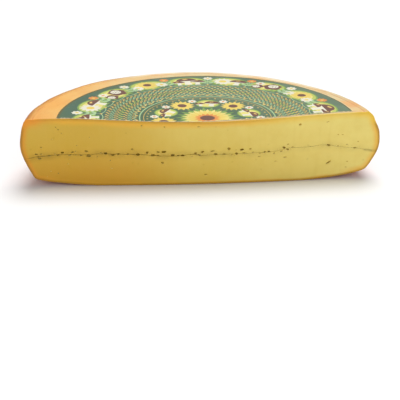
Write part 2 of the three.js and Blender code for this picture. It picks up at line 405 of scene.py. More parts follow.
def layer_height(x, y=0.0):
    height = settings().layer.height / MM
    for hump, middle, width in LAYER_HUMPS:
        height = height + hump * np.exp(-(((np.asarray(x) / MM - middle) / width) ** 2))
    for wave, along, back, start in LAYER_WAVES:
        height = height + wave * np.sin(np.asarray(x) / MM / along + np.asarray(y) / MM / back + start)
    return height * MM


def out_of_round(x, y, z, radii):
    """How far the wheel's side stands out beyond the round wheel at each point."""
    wheel = settings().wheel
    angles, *columns = np.array(OUT_OF_ROUND, float).T
    turn = (np.degrees(np.arctan2(y, x)) + 90) % 360 - 90
    out = 0.0
    for column, low, high in zip(columns, SIDE_HEIGHTS, SIDE_HEIGHTS[1:]):
        here = eased_between(turn, angles, column)
        out = out + (here - out) * smooth_step(z, low * MM, high * MM)
    return out * MM * smooth_step(radii, wheel.dish + 2 * MM, wheel.dish + 16 * MM)


def line_height(x):
    """Height of the line on the cut."""
    places, heights, _ = np.array(LINE).T
    return eased_between(np.asarray(x) / MM, places, heights) * MM


def line_strength(x):
    places, _, strengths = np.array(LINE).T
    return eased_between(np.asarray(x) / MM, places, strengths)


def rind_relief(points, radii):
    """How far the rind stands out at each point: slow dents, a fainter grain, and a ridge and a groove
    where the top turns into the side."""
    wheel = settings().wheel
    slow = noise_at(points, 45 * MM, 2)
    fine = noise_at(points, 9 * MM, 3, 5.0)
    high = points[:, 2] > wheel.height * 0.9
    ridge_radius = wheel.radius - (wheel.ridge / MM + noise_at(points, 60 * MM, 1, 9.0)) * MM
    ridge = np.exp(-(((radii - ridge_radius) / (1.6 * MM)) ** 2)) * high
    groove = np.exp(-(((radii - ridge_radius + 4 * MM) / (2.2 * MM)) ** 2)) * high
    calm = smooth_step(radii, wheel.dish + 2 * MM, wheel.dish + 14 * MM)
    calm *= smooth_step(points[:, 2], 0, 9 * MM)
    return wheel.unevenness * ((0.75 * slow + 0.22 * fine) * calm + 0.7 * ridge - 0.6 * groove)


def cut_relief(points, edge_distance):
    """How far the cut stands out at each point: upright ripples left by the blade, and a slow wave."""
    stretched = points * np.array([1, 1, 0.12])
    ripples = noise_at(stretched, 7 * MM, 2, 3.0)
    slow = noise_at(points, 40 * MM, 2, 11.0)
    return (0.10 * ripples + 0.28 * slow) * MM * smooth_step(edge_distance, 0, 4 * MM)


# Meshes


def new_object(name, data):
    made = bpy.data.objects.new(name, data)
    bpy.context.scene.collection.objects.link(made)
    return made


def mesh_from(name, vertices, faces, materials, material_of_face=None):
    mesh = bpy.data.meshes.new(name)
    mesh.from_pydata([tuple(v) for v in vertices], [], [tuple(int(i) for i in f) for f in faces])
    for material in materials:
        mesh.materials.append(material)
    if material_of_face is not None:
        mesh.polygons.foreach_set("material_index", np.asarray(material_of_face, np.int32))
    mesh.update()
    if mesh.validate():
        raise RuntimeError(f"{name}: the mesh has faces that Blender had to mend")
    return mesh


def rework(mesh, work):
    """Changes a mesh by a step of work on its bmesh, and stops if the mesh isn't closed afterwards."""
    shape = bmesh.new()
    shape.from_mesh(mesh)
    work(shape)
    if any(not edge.is_manifold for edge in shape.edges):
        raise RuntimeError(f"{mesh.name} is not closed")
    shape.to_mesh(mesh)
    shape.free()


def face_outwards(shape):
    bmesh.ops.recalc_face_normals(shape, faces=shape.faces)


def drop_idle_points(shape):
    """Takes out points part of the way along an edge, so that no two faces fold along one line."""
    bmesh.ops.dissolve_verts(shape, verts=[v for v in shape.verts if len(v.link_edges) == 2])


def positions(mesh):
    values = np.zeros(len(mesh.vertices) * 3, np.float32)
    mesh.vertices.foreach_get("co", values)
    return values.reshape(-1, 3).astype(float)


def keep_values(mesh, name, values):
    layer = mesh.attributes.new(name, "FLOAT", "POINT")
    layer.data.foreach_set("value", np.asarray(values, np.float32))


def place_piece(piece, node, smooth_below):
    """Shades a piece smooth below an angle in degrees, and moves it from the wheel's axis into the row's
    frame, on its body and in its node's place."""
    mesh = piece.data
    mesh.polygons.foreach_set("use_smooth", np.ones(len(mesh.polygons), bool))
    mesh.set_sharp_from_angle(angle=math.radians(smooth_below))
    mesh.transform(Matrix.Translation(axis_place()))
    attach(piece, BODY)
    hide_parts(node)


def grid_faces(rows, columns, first=0):
    """Quads between neighbouring rows of points."""
    corner = first + np.arange(rows - 1)[:, None] * columns + np.arange(columns - 1)[None, :]
    corner = corner.ravel()
    return np.column_stack([corner, corner + 1, corner + columns + 1, corner + columns])


def loop_faces(first, second):
    """Quads between two closed lines of vertices."""
    first, second = [*first, first[0]], [*second, second[0]]
    return [(a, b, d, c) for a, b, c, d in zip(first, first[1:], second, second[1:])]


def distance_to_line(points, line, batch=2000):
    """From each 2D point to the nearest place on a closed line of 2D points, worked out in batches."""
    step = np.roll(line, -1, axis=0) - line
    size = np.maximum((step**2).sum(1), 1e-16)
    nearest = np.full(len(points), np.inf)
    for begin in range(0, len(points), batch):
        offset = points[begin:begin + batch, None, :] - line[None]
        share = np.clip((offset * step[None]).sum(2) / size[None], 0, 1)
        gap = np.linalg.norm(offset - share[..., None] * step[None], axis=2)
        nearest[begin:begin + batch] = gap.min(1)
    return nearest


def cut_outline(spacing=1.5 * MM):
    """The cut's outline in X and Z, anticlockwise from the underside's middle."""
    profile = wheel_profile(spacing)
    sides = []
    for x in cut_ends(profile[:, 0]):
        out = out_of_round(x, cut_front(x), profile[:, 1], profile[:, 0])
        sides.append(np.column_stack([x + np.sign(x) * out, profile[:, 1]]))
    return np.vstack([sides[0], sides[1][::-1]])


# Cheese: the rind goes round in rings, and the cut is filled with small triangles


RIND, PASTE, EYE = range(3)  # the order of the cheese's materials


def rind_points(profile):
    """The rind in rings, one for each point of the profile."""
    corner = settings().wheel.cut_corner
    radii, heights = profile.T
    right, left = cut_ends(radii)
    start = np.arctan2(cut_front(right), right) + corner / radii
    end = np.arctan2(cut_front(left), left) % (2 * math.pi) - corner / radii
    turn = start[:, None] + (end - start)[:, None] * np.linspace(0, 1, RING_POINTS)
    along = np.gradient(profile, axis=0)
    along /= np.linalg.norm(along, axis=1)[:, None]

    def rings(outwards, upwards):
        flat = [outwards[:, None] * np.cos(turn), outwards[:, None] * np.sin(turn)]
        return np.stack([*flat, np.repeat(upwards[:, None], RING_POINTS, 1)], axis=2).reshape(-1, 3)

    points = rings(radii, heights)
    all_radii = np.repeat(radii, RING_POINTS)
    out = out_of_round(*points.T, all_radii)
    points += rings(along[:, 1], -along[:, 0]) * rind_relief(points, all_radii)[:, None]
    points[:, :2] *= (1 + out / all_radii)[:, None]
    points[:, 2] = np.maximum(0, points[:, 2])
    return points


def add_corner(vertices, rim):
    """Adds the soft corner inside the rim of the cut, and returns its loops, from the rim inwards."""
    corner = settings().wheel.cut_corner
    flat = np.array([vertices[i] for i in rim])[:, [0, 2]]
    tangent = np.roll(flat, -1, axis=0) - np.roll(flat, 1, axis=0)
    tangent /= np.linalg.norm(tangent, axis=1)[:, None]
    inwards = np.column_stack([-tangent[:, 1], tangent[:, 0]])
    loops = [rim]
    for inward, behind in ((0.3, 0.3), (1.0, 0.0)):
        loops.append(list(range(len(vertices), len(vertices) + len(rim))))
        moved = flat + inwards * corner * inward
        vertices += [np.array([x, cut_front(x) + corner * behind, z]) for x, z in moved]
    return loops


def cut_points(outline, clear=1.2 * MM):
    """Scattered points in X and Z inside the cut's outline, clear of it."""
    wheel = settings().wheel
    chance = random.Random(4)
    points = []
    for row, z in enumerate(np.arange(CUT_SPACING, wheel.height, CUT_SPACING)):
        shift = CUT_SPACING * 0.5 * (row % 2)
        for x in np.arange(-wheel.radius, wheel.radius, CUT_SPACING):
            points.append((x + shift + chance.uniform(-0.4, 0.4) * MM, z + chance.uniform(-0.4, 0.4) * MM))
    points = np.array(points)
    return points[distance_to_line(points, outline) > clear]


def add_cut(vertices, loop):
    """Adds the cut's own points inside a loop of vertices, and returns its faces."""
    outline = np.array([vertices[i] for i in loop])[:, [0, 2]]
    seeds = [Vector(p) for p in (*outline, *cut_points(outline))]
    places, _, triangles, came_from, _, within = delaunay_2d_cdt(
        seeds, [], [list(range(len(loop)))], 0, 1e-7, True)
    triangles = [triangle for triangle, areas in zip(triangles, within) if areas]
    number = {}
    for index, sources in enumerate(came_from):
        on_loop = [s for s in sources if s < len(loop)]
        if on_loop:
            number[index] = loop[on_loop[0]]
    free = sorted({i for triangle in triangles for i in triangle} - set(number))
    points = np.array([(places[i].x, cut_front(places[i].x), places[i].y) for i in free])
    points[:, 1] -= cut_relief(points, distance_to_line(points[:, [0, 2]], outline))
    number.update({index: len(vertices) + place for place, index in enumerate(free)})
    vertices += list(points)
    return [tuple(number[i] for i in triangle) for triangle in triangles]


def cheese_mesh(materials):
    profile = wheel_profile(RIND_SPACING)
    rows = len(profile)
    vertices = list(rind_points(profile))
    faces = [tuple(f) for f in grid_faces(rows, RING_POINTS)]

    # Two points close the underside and the top near the wheel's axis
    hub_y = float(cut_front(0.0)) + settings().wheel.cut_corner
    under_hub, top_hub = len(vertices), len(vertices) + 1
    vertices += [np.array([0, hub_y, 0]), np.array([0, hub_y, float(dished_height(0.0))])]
    last = (rows - 1) * RING_POINTS
    faces += [(i + 1, i, under_hub) for i in range(RING_POINTS - 1)]
    faces += [(i, i + 1, top_hub) for i in range(last, last + RING_POINTS - 1)]
    kinds = [RIND] * len(faces)

    # The rim of the cut, in order round it, then a soft corner, then the cut itself
    rim = [under_hub, *range(0, last + 1, RING_POINTS), top_hub,
           *range(last + RING_POINTS - 1, 0, -RING_POINTS)]
    loops = add_corner(vertices, rim)
    for outer, inner in zip(loops, loops[1:]):
        faces += loop_faces(inner, outer)
    faces += add_cut(vertices, loops[-1])
    kinds += [PASTE] * (len(faces) - len(kinds))
    mesh = mesh_from("cheese_paste_and_rind", vertices, faces, materials, kinds)
    rework(mesh, face_outwards)
    return mesh


def eye_places():
    """Eyes as x, height, width, height of the eye, tilt and depth's share: listed, then at random."""
    wheel, sizes = settings().wheel, settings().eyes
    chance = random.Random(12)
    outline = cut_outline(4 * MM)
    eyes = [(*(value * MM for value in eye[:4]), *eye[4:]) for eye in EYES]

    def try_eye(x, z, wide, tall, tilt, share):
        near_rind = distance_to_line(np.array([[x, z]]), outline)[0] < wide + 2 * MM
        touching = any(math.hypot(x - e[0], z - e[1]) < (wide + e[2]) * 0.62 for e in eyes)
        if near_rind or touching:
            return False
        eyes.append((x, z, wide, tall, tilt, share))
        return True

    def fill(count, draw, most_tries=4000):
        tries = 0
        while count > 0 and tries < most_tries:
            tries += 1
            count -= try_eye(*draw())

    def along_line():
        x = chance.uniform(-0.92, -0.4) * wheel.radius
        z = float(line_height(x)) + chance.gauss(0.8, 1.4) * MM
        wide = chance.uniform(2.0, 4.6) * MM
        flatness, tilt = chance.uniform(0.35, 0.6), chance.uniform(-15, 15)
        return x, z, wide, wide * flatness, tilt, chance.uniform(0.3, 1.0)

    def anywhere():
        x = chance.uniform(-0.93, -0.42) * wheel.radius
        z = chance.uniform(0.1, 0.9) * wheel.height
        wide = chance.uniform(0.8, 1.9) * MM
        flatness, tilt = chance.uniform(0.6, 1.0), chance.uniform(-60, 60)
        return x, z, wide, wide * flatness, tilt, chance.uniform(0.15, 0.4)

    fill(sizes.along_line, along_line)
    fill(sizes.scattered, anywhere)
    return eyes


def eyes_mesh(materials, material_index):
    """All the eyes as lumpy closed forms that reach through the cut, each a little wider at its mouth."""
    sizes = settings().eyes
    ahead = 1 * MM  # from the cut to the front of the forms
    vertices, faces = [], []
    for number, (x, z, wide, tall, tilt, share) in enumerate(eye_places()):
        deep = min(sizes.depth * share, wide * 0.75)
        mouth = sizes.mouth / 2 * share
        rings = ((1, mouth, -ahead), (1, mouth, 0.0), (1, 0.3 * mouth, 0.25 * deep),
                 (0.92, 0, 0.45 * deep), (0.66, 0, 0.8 * deep), (0.3, 0, 0.97 * deep))
        sides = 18 if wide > 2.5 * MM else 12
        c, s = math.cos(math.radians(tilt)), math.sin(math.radians(tilt))
        front = float(cut_front(x))
        first = len(vertices)
        for size, wider, back in rings:
            for k in range(sides):
                angle = 2 * math.pi * k / sides
                flat = Vector((math.cos(angle), math.sin(angle), number * 3.1))
                lump = 1 + 0.3 * noise.noise(flat * 1.3)
                across = lump * (size * wide / 2 + wider) * flat.x
                up = lump * (size * tall / 2 + wider) * flat.y
                vertices.append((x + across * c - up * s, front + back, z + across * s + up * c))
        vertices += [(x, front - ahead, z), (x, front + deep, z)]
        front_tip, back_tip = len(vertices) - 2, len(vertices) - 1
        last = first + (len(rings) - 1) * sides
        for k in range(sides):
            after = (k + 1) % sides
            faces += [(first + k, first + after, front_tip), (last + after, last + k, back_tip)]
            for row in range(first, last, sides):
                faces.append((row + k, row + sides + k, row + sides + after, row + after))
    mesh = mesh_from("eyes", vertices, faces, materials, [material_index] * len(faces))
    rework(mesh, face_outwards)
    return mesh


def cut_eyes(piece, material_index):
    """Takes the eyes out of a piece. Their insides get the piece's material of that index."""
    uncut = piece.data
    cutter = new_object("eyes", eyes_mesh(uncut.materials, material_index))
    modifier = piece.modifiers.new("eyes", "BOOLEAN")
    modifier.operation = "DIFFERENCE"
    modifier.solver = "EXACT"
    modifier.use_self = True
    modifier.object = cutter
    evaluated = piece.evaluated_get(bpy.context.evaluated_depsgraph_get())
    mesh = bpy.data.meshes.new_from_object(evaluated)
    piece.modifiers.remove(modifier)
    piece.data = mesh
    bpy.data.meshes.remove(uncut)
    bpy.data.objects.remove(cutter)
    rework(mesh, drop_idle_points)


def shade_values(mesh):
    """Keeps what the materials read: how deep under the rind, how far from the layer and behind the cut,
    and the way round and up the rind, in metres."""
    wheel = settings().wheel
    points = positions(mesh)
    x, y, z = points.T
    keep_values(mesh, "under_rind", distance_to_line(points[:, [0, 2]], cut_outline()))
    keep_values(mesh, "above_layer", z - line_height(x))
    keep_values(mesh, "behind_cut", y - cut_front(x))
    middle = np.array([wheel.radius - 60 * MM, wheel.height / 2])
    curve, along = side_line()
    curve_angle = np.unwrap(np.arctan2(*(curve - middle).T[::-1]))
    radius = np.hypot(x, y)
    radius = radius - out_of_round(x, y, z, radius)
    angle = np.arctan2(z - middle[1], radius - middle[0])
    keep_values(mesh, "up_rind", np.interp(angle, curve_angle, along))
    keep_values(mesh, "round_rind", np.arctan2(y, x) % (2 * math.pi) * wheel.radius)


class CHEESE_OT_paste_and_rind(bpy.types.Operator):
    """Makes the cheese itself, with its rind, its cut and its eyes"""

    bl_idname = "half_cheese.paste_and_rind"
    bl_label = "Paste and rind"

    def execute(self, context):
        materials = [rind_material(), paste_material(), eye_material()]
        piece = new_object("cheese_paste_and_rind", cheese_mesh(materials))
        cut_eyes(piece, EYE)
        shade_values(piece.data)
        place_piece(piece, "cheese", 40)
        return {"FINISHED"}


# Dark layer: a thin sheet through the cheese whose front edge is the line on the cut


def layer_mesh(material):
    wheel, layer = settings().wheel, settings().layer
    reach = wheel.radius - layer.inset
    right, left = cut_ends(reach)
    x = np.linspace(left, right, LINE_POINTS)
    front = cut_front(x)
    back = np.maximum(np.sqrt(np.maximum(0, reach**2 - x**2)), front + 0.2 * MM)
    line = np.column_stack([x, x * 0, x * 0])
    relief = cut_relief(np.column_stack([x, front, line_height(x)]), np.ones_like(x))
    strength = line_strength(x) * (1 + 0.4 * noise_at(line, 6 * MM, 3, 2.0))
    strength = np.clip(strength, 0.03, 1.3) * smooth_step(-np.abs(x), -reach, -reach + 4 * MM)
    wobble = 0.35 * MM * noise_at(line, 6 * MM, 2, 21.0)
    rows = []
    for side in (1, -1):
        for share in LAYER_ROWS:
            y = front + share * (back - front) - (relief + layer.proud) * (share == 0)
            whole = smooth_step(share, 0, 0.1)
            half = layer.thickness / 2 * (strength * (1 - whole) + whole) + 0.04 * MM
            half = half * (1 - smooth_step(share, 0.9, 1.0) * 0.9)
            middle = line_height(x) * (1 - whole) + layer_height(x, y) * whole
            rows.append(np.column_stack([x, y, middle + wobble * (1 - whole) + side * half]))
    low = len(LAYER_ROWS) * LINE_POINTS
    top = grid_faces(len(LAYER_ROWS), LINE_POINTS)
    under = grid_faces(len(LAYER_ROWS), LINE_POINTS, low)[:, ::-1]
    rim = [*range(LINE_POINTS), *range(2 * LINE_POINTS - 1, low, LINE_POINTS),
           *range(low - 2, low - LINE_POINTS - 1, -1), *range(low - 2 * LINE_POINTS, 0, -LINE_POINTS)]
    walls = [(a, a + low, b + low, b) for a, b in zip(rim, [*rim[1:], rim[0]])]
    mesh = mesh_from("dark_layer_sheet", np.vstack(rows), [*top, *under, *walls], [material])
    rework(mesh, face_outwards)
    return mesh


class CHEESE_OT_dark_layer(bpy.types.Operator):
    """Makes the thin dark layer that runs through the cheese and shows as a line on the cut"""

    bl_idname = "half_cheese.dark_layer"
    bl_label = "Dark layer"

    def execute(self, context):
        piece = new_object("dark_layer_sheet", layer_mesh(powder_material()))
        cut_eyes(piece, 0)
        place_piece(piece, "dark_layer", 40)
        return {"FINISHED"}


# Label: the print is laid out as flat forms in millimetres from the label's middle, later ones on top


GOLDEN_ANGLE = math.pi * (3 - math.sqrt(5))
# The inks in the order of the label's materials
PRINT_INKS = ("ground", "line", "leaf", "meadow", "glow", "yellow", "gold", "orange", "white", "brown",
              "paper", "rim")


def polar(radius, angle):
    return radius * math.cos(angle), radius * math.sin(angle)


def placed(points, x, y, angle):
    """Points that are turned by the angle and moved to x, y."""
    c, s = polar(1, angle)
    return [(x + u * c - v * s, y + u * s + v * c) for u, v in points]


class Print:
    """Flat forms in the colours of the inks."""

    def __init__(self):
        self.forms = []

    def form(self, ink, points):
        """Adds a form, its points in anticlockwise order."""
        points = [(float(x), float(y)) for x, y in points]
        area = sum(a[0] * b[1] - b[0] * a[1] for a, b in zip(points, points[1:] + points[:1]))
        self.forms.append((ink, points if area > 0 else points[::-1]))

    def oval(self, ink, x, y, long, short, angle=0.0, sides=16):
        """An oval with its long half-axis along the angle."""
        turns = [2 * math.pi * k / sides for k in range(sides)]
        self.form(ink, placed([(long * math.cos(t), short * math.sin(t)) for t in turns], x, y, angle))

    def disc(self, ink, x, y, radius, sides=12):
        self.oval(ink, x, y, radius, radius, sides=sides)

    def pod(self, ink, x, y, size, width, angle, blunt=0.8):
        """A leaf or petal that starts at x, y and points along the angle."""
        edge = [(size * t, width / 2 * math.sin(math.pi * t**blunt)) for t in (0.0, 0.25, 0.5, 0.75, 1.0)]
        self.form(ink, placed(edge + [(u, -v) for u, v in edge[-2:0:-1]], x, y, angle))

    def line(self, ink, points, width):
        """A strip of even width along the points, as one form for each stretch."""
        points = np.array(points, float)
        along = np.gradient(points, axis=0)
        along /= np.linalg.norm(along, axis=1)[:, None]
        aside = np.column_stack([-along[:, 1], along[:, 0]]) * width / 2
        left, right = points + aside, points - aside
        for a, b, c, d in zip(left, left[1:], right[1:], right):
            self.form(ink, [a, b, c, d])

    def flower(self, x, y, radius, petals, petal_ink, heart_ink, turn=0.0, heart=0.3):
        """Petals round a heart, whose size is a share of the radius."""
        for k in range(petals):
            angle = turn + 2 * math.pi * k / petals
            self.pod(petal_ink, x, y, radius, radius * 4.8 / petals, angle, 1.1)
        self.disc(heart_ink, x, y, radius * heart)

    def sprig(self, x, y, size, angle, ink="leaf"):
        """A stem with three pairs of leaves and one at its tip."""
        pairs = 3
        tip = (x + size * math.cos(angle), y + size * math.sin(angle))
        self.line(ink, [(x, y), ((x + tip[0]) / 2, (y + tip[1]) / 2), tip], 0.7)
        for k in range(pairs):
            share = (k + 0.6) / pairs
            base = (x + (tip[0] - x) * share, y + (tip[1] - y) * share)
            leaf = size * (0.55 - 0.28 * share)
            for side in (1, -1):
                self.pod(ink, *base, leaf, leaf * 0.42, angle + side * 0.9)
        self.pod(ink, *tip, size * 0.3, size * 0.13, angle)

    def mushroom(self, x, y, size, angle):
        """A brown cap on a white stem; the angle is the way it stands."""
        c, s = math.cos(angle), math.sin(angle)

        def add(ink, points):
            self.form(ink, [(x + size * (a * s + u * c), y + size * (u * s - a * c)) for a, u in points])

        add("white", [(-0.17, 0), (0.17, 0), (0.12, 0.25), (0.15, 0.55), (-0.15, 0.55), (-0.12, 0.25)])
        arc = [math.pi * k / 8 for k in range(9)]
        add("brown", [(0.46 * math.cos(t), 0.5 + 0.42 * math.sin(t)) for t in arc])
        add("white", [(-0.4, 0.5), (0.4, 0.5), (0.3, 0.42), (-0.3, 0.42)])
        add("gold", [(-0.2, 0.75), (0.02, 0.84), (0.1, 0.76), (-0.1, 0.66)])

    def truffle(self, x, y, radius, turn):
        """A dark lumpy round with a pale, flecked cut side."""
        turns = np.linspace(0, 2 * math.pi, 15)[:-1]
        lumps = [(radius * (1 + 0.12 * math.sin(5 * t + turn)), t) for t in turns]
        self.form("brown", [(x + r * math.cos(t), y + r * math.sin(t)) for r, t in lumps])
        x += 0.2 * radius * math.cos(turn)
        y += 0.2 * radius * math.sin(turn)
        self.disc("white", x, y, radius * 0.6, 10)
        for k in range(9):
            angle = turn + k * GOLDEN_ANGLE
            out = radius * 0.16 * math.sqrt(k)
            self.oval("brown", x + out * math.cos(angle), y + out * math.sin(angle), radius * 0.1,
                      radius * 0.045, 2 * angle, 8)


def ring_line(sheet, radius, width, ink="line", parts=100):
    angles = np.linspace(0, 2 * math.pi, parts + 1)
    sheet.line(ink, [polar(radius, a) for a in angles], width)


def scallops(sheet, radius, depth, lobes, width):
    """A line of swags round the label, with a bead where two meet."""
    hang = np.sin(np.linspace(0, math.pi, 8))
    for k in range(lobes):
        angles = np.linspace(k, k + 1, len(hang)) * 2 * math.pi / lobes
        sheet.line("line", [polar(radius - depth * h, a) for h, a in zip(hang, angles)], width)
        sheet.disc("gold", *polar(radius, k * 2 * math.pi / lobes), 1.5, 8)


def meadow(sheet, radius, angle, along, across):
    """A sunny green oval that lies along the ring, behind the motifs."""
    x, y = polar(radius, angle)
    for ink, share in (("leaf", 1.0), ("meadow", 0.9), ("glow", 0.7)):
        sheet.oval(ink, x, y, along * share, across * share, angle + math.pi / 2)


def outer_garland(sheet, cells):
    """The ring near the edge: meadows with mushrooms, flowers and truffles in turn."""
    step = 2 * math.pi / cells
    for k in range(cells):
        angle = (k + 0.5) * step
        meadow(sheet, 120, angle, 22, 14.5)
        for side in (1, -1):
            sheet.sprig(*polar(109, angle + side * 0.05), 18, angle + side * 1.15)
        joint = k * step
        sheet.sprig(*polar(107, joint), 20, joint, "line")
        sheet.flower(*polar(130, joint), 6, 8, "orange" if k % 2 else "white", "yellow", joint)
        kind = k % 4
        if kind == 0:
            for aside, size in ((-0.095, 19), (0.0, 26), (0.09, 16)):
                sheet.mushroom(*polar(108 - abs(aside) * 10, angle + aside), size, angle + aside)
        elif kind == 1:
            sheet.flower(*polar(121, angle), 13, 14, "yellow", "brown", angle, 0.36)
            for side in (1, -1):
                sheet.flower(*polar(116, angle + side * 0.13), 7.5, 10, "white", "yellow", angle)
        elif kind == 2:
            sheet.truffle(*polar(121, angle - 0.045), 10, angle)
            sheet.truffle(*polar(115, angle + 0.09), 7, angle + 2)
            sheet.flower(*polar(126, angle + 0.1), 6, 8, "white", "orange", angle)
        else:
            sheet.flower(*polar(120, angle + 0.055), 12, 12, "white", "yellow", angle, 0.36)
            sheet.mushroom(*polar(109, angle - 0.09), 22, angle - 0.09)


def grain_rings(sheet):
    """Rows of small leaning grains between the garland and the medallion."""
    spacing = 3.3
    inks = ("gold", "line", "gold", "meadow", "gold", "line", "gold")
    for number, ink in enumerate(inks):
        radius = 101 - 4.5 * number
        count = round(2 * math.pi * radius / spacing / 2) * 2
        for k in range(count):
            angle = 2 * math.pi * k / count
            lean = math.pi / 2 + (0.6 if (k + number) % 2 else -0.6)
            sheet.pod(ink, *polar(radius - 1.2, angle), 4.0, 1.9, angle + lean)


def medallion(sheet):
    """The middle: a large yellow flower in a wreath of smaller ones."""
    ring_line(sheet, 67.5, 1.3)
    ring_line(sheet, 63.5, 0.6, "gold")
    beads, lobes = 48, 10
    for k in range(beads):
        sheet.disc("gold", *polar(60, 2 * math.pi * k / beads), 1.1, 7)
    for k in range(lobes):
        angle = 2 * math.pi * (k + 0.5) / lobes
        for side in (1, -1):
            sheet.sprig(*polar(36, angle + side * 0.2), 18, angle - side * 0.5)
        if k % 2:
            sheet.flower(*polar(45, angle), 13.5, 14, "yellow", "brown", angle, 0.36)
        else:
            meadow(sheet, 44, angle, 13, 12)
            sheet.mushroom(*polar(36, angle - 0.1), 18, angle - 0.1)
            sheet.mushroom(*polar(37, angle + 0.18), 12, angle + 0.25)
        sheet.flower(*polar(53, angle + math.pi / lobes), 5, 8, "white", "orange", angle)
    sheet.flower(0, 0, 32, 22, "leaf", "yellow")
    sheet.flower(0, 0, 27, 22, "glow", "yellow", math.pi / 22)
    sheet.flower(0, 0, 23, 22, "yellow", "brown")
    sheet.flower(0, 0, 14, 16, "orange", "brown")
    sheet.disc("brown", 0, 0, 7.5, 18)


def bare_rim(sheet, radius):
    """The pale cut edge of the paper, which shows on the right where the label lifts a little."""
    turns = np.radians(np.linspace(-5, 62, 40))
    widths = 0.9 * np.sin(np.linspace(0, math.pi, 40)) ** 0.5
    inner = [polar(radius - width, turn) for width, turn in zip(widths, turns)]
    outer = [polar(radius + 1, turn) for turn in turns]
    sheet.form("paper", [*outer, *inner[::-1]])


def label_print(label, outline, cut_line):
    """The forms of the whole label, the lowest first. Those wholly in front of the cut are left out."""
    sheet = Print()
    outer_garland(sheet, label.cells)
    scallops(sheet, 106, 2.6, label.cells * 2, 0.9)
    grain_rings(sheet)
    scallops(sheet, 70.5, -2.6, label.cells * 2, 0.7)
    medallion(sheet)
    back = label.print_back / MM
    printed = [(ink, [(x, y + back) for x, y in points]) for ink, points in sheet.forms]
    sheet.forms = []
    sheet.form("ground", outline)
    # Painted shadow round the label's edge, partly a printed rim
    ring_line(sheet, label.radius / MM - 0.6, 3.2, "rim", 180)
    bare_rim(sheet, label.radius / MM)
    sheet.forms += printed
    torn_strip(sheet, cut_line)
    lowest = min(y for _, y in cut_line)
    return [(ink, points) for ink, points in sheet.forms if max(y for _, y in points) > lowest]


def label_outline(label, samples=4001):
    """The half label's outline in millimetres from its middle: along the cut, then round the back."""
    x = np.linspace(-label.radius, label.radius, samples)
    bare = 0.3 * MM + label.bare * smooth_step(x, -20 * MM, 30 * MM)
    wander = 0.5 * MM * noise_at(np.column_stack([x, x * 0, x * 0]), 14 * MM, 2, 5.0)
    front = cut_front(x + label.middle_x) - label.middle_y + bare + np.maximum(wander, -0.3 * MM)
    inside = np.hypot(x, front) < label.radius
    x, front = x[inside], front[inside]
    cut_x = np.linspace(x[0], x[-1], LABEL_CUT_POINTS)
    cut_line = np.column_stack([cut_x, np.interp(cut_x, x, front)])
    start = math.atan2(front[-1], x[-1])
    end = math.atan2(front[0], x[0]) % (2 * math.pi)
    turn = np.linspace(start, end, LABEL_BACK_POINTS)[1:-1]
    arc = np.column_stack([np.cos(turn), np.sin(turn)]) * label.radius
    return cut_line / MM, arc / MM


def torn_strip(sheet, cut_line):
    """The pale torn edge of the paper along the cut."""
    chance = random.Random(3)
    inner = [(x, y + max(0.15, chance.gauss(0.75, 0.45))) for x, y in cut_line[::-1]]
    outer = [(x, y - 1.0) for x, y in cut_line]
    sheet.form("paper", [*outer, *inner])


def label_mesh():
    """The paper with its print: every form of the print is an area of the one mesh."""
    label = settings().label
    cut_line, arc = label_outline(label)
    forms = label_print(label, np.vstack([cut_line, arc]), cut_line)
    seeds, areas = [], []
    for _, points in forms:
        areas.append(list(range(len(seeds), len(seeds) + len(points))))
        seeds += [Vector(p) for p in points]
    chance = random.Random(8)
    for y in np.arange(-20, 150, PAPER_SPACING / MM):
        for x in np.arange(-148, 148, PAPER_SPACING / MM):
            seeds.append(Vector((x + chance.uniform(-1, 1), y + chance.uniform(-1, 1))))
    places, _, triangles, _, _, within = delaunay_2d_cdt(seeds, [], areas, 1, 1e-4, True)

    # A triangle has the ink of the highest form that it lies in, and the first form is the whole label
    kept = [(face, max(areas_in)) for face, areas_in in zip(triangles, within) if 0 in areas_in]
    kinds = [PRINT_INKS.index(forms[area][0]) for _, area in kept]
    used = sorted({i for face, _ in kept for i in face})
    number = {old: new for new, old in enumerate(used)}
    front = [tuple(number[i] for i in face) for face, _ in kept]
    flat = np.array([places[i] for i in used]) * MM + np.array([label.middle_x, label.middle_y])
    spots = np.column_stack([flat, np.zeros(len(flat))])
    waves = np.abs(noise_at(spots, 26 * MM, 2, 1.0)) * 0.8 + np.abs(noise_at(spots, 8 * MM, 2, 4.0)) * 0.3
    under = dished_height(np.hypot(*flat.T)) + label.lift + label.wrinkle * waves
    vertices = np.vstack([np.column_stack([flat, under + label.paper]), np.column_stack([flat, under])])

    # The paper's back, and walls round its edge
    count = len(flat)
    edges = dict.fromkeys(edge for face in front for edge in zip(face, (*face[1:], face[0])))
    back = [tuple(i + count for i in reversed(face)) for face in front]
    walls = [(b, a, a + count, b + count) for a, b in edges if (b, a) not in edges]
    kinds += [PRINT_INKS.index("paper")] * (len(back) + len(walls))
    inks = [ink_material(name) for name in PRINT_INKS]
    return mesh_from("label_paper", vertices, [*front, *back, *walls], inks, kinds)


class CHEESE_OT_label(bpy.types.Operator):
    """Makes the printed paper label on the top"""

    bl_idname = "half_cheese.label"
    bl_label = "Label"

    def execute(self, context):
        piece = new_object("label_paper", label_mesh())
        place_piece(piece, "paper_label", 50)
        return {"FINISHED"}


# Materials


